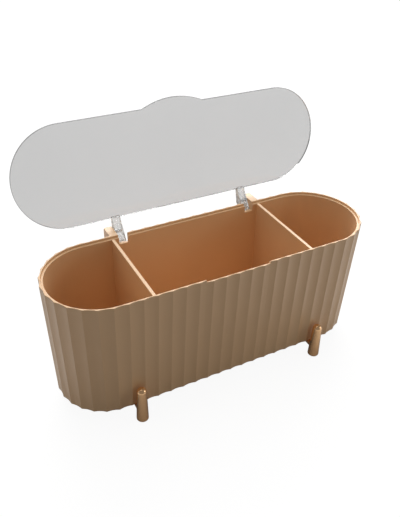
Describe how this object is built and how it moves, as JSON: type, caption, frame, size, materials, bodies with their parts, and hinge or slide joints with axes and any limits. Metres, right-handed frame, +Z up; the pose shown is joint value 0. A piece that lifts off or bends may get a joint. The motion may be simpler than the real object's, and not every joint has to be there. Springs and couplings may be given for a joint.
{
  "type": "desk organizer with lift lid",
  "caption": "Fluted stadium-shaped desktop tub with three open compartments, plated corner legs and a clear lid hinged on two arms at the back.",
  "frame": {"origin": "on the desk, under the middle of the whole object's box with the lid open; the tub's middle is 10.70 mm in front of it", "axes": "+X along the tub to the right as seen from the front, +Y from the front to the hinge side, +Z up"},
  "size_m": [0.2498, 0.1128, 0.1903],
  "materials": {
    "tub": "satin",
    "lid": "clear",
    "hinge_arm": "clear",
    "hinge_pin": "polished",
    "leg": "plated",
    "foot_pad": "matte",
    "leg_screw": "satin"
  },
  "bodies": {
    "tub": {"tub": "tub", "leg_front_left": "leg", "leg_front_right": "leg", "leg_rear_left": "leg", "leg_rear_right": "leg", "foot_pad_front_left": "foot_pad", "foot_pad_front_right": "foot_pad", "foot_pad_rear_left": "foot_pad", "foot_pad_rear_right": "foot_pad", "leg_screws": "leg_screw"},
    "lid": {"lid_plate": "lid", "hinge_arm_left": "hinge_arm", "hinge_arm_right": "hinge_arm", "hinge_pin_left": "hinge_pin", "hinge_pin_right": "hinge_pin"}
  },
  "joints": [
    {"name": "lid_hinge", "type": "hinge", "parent": "tub", "child": "lid", "pos_m": [0, 0.0365, 0.1023], "axis": [1, 0, 0], "range_deg": [0, 101]}
  ]
}
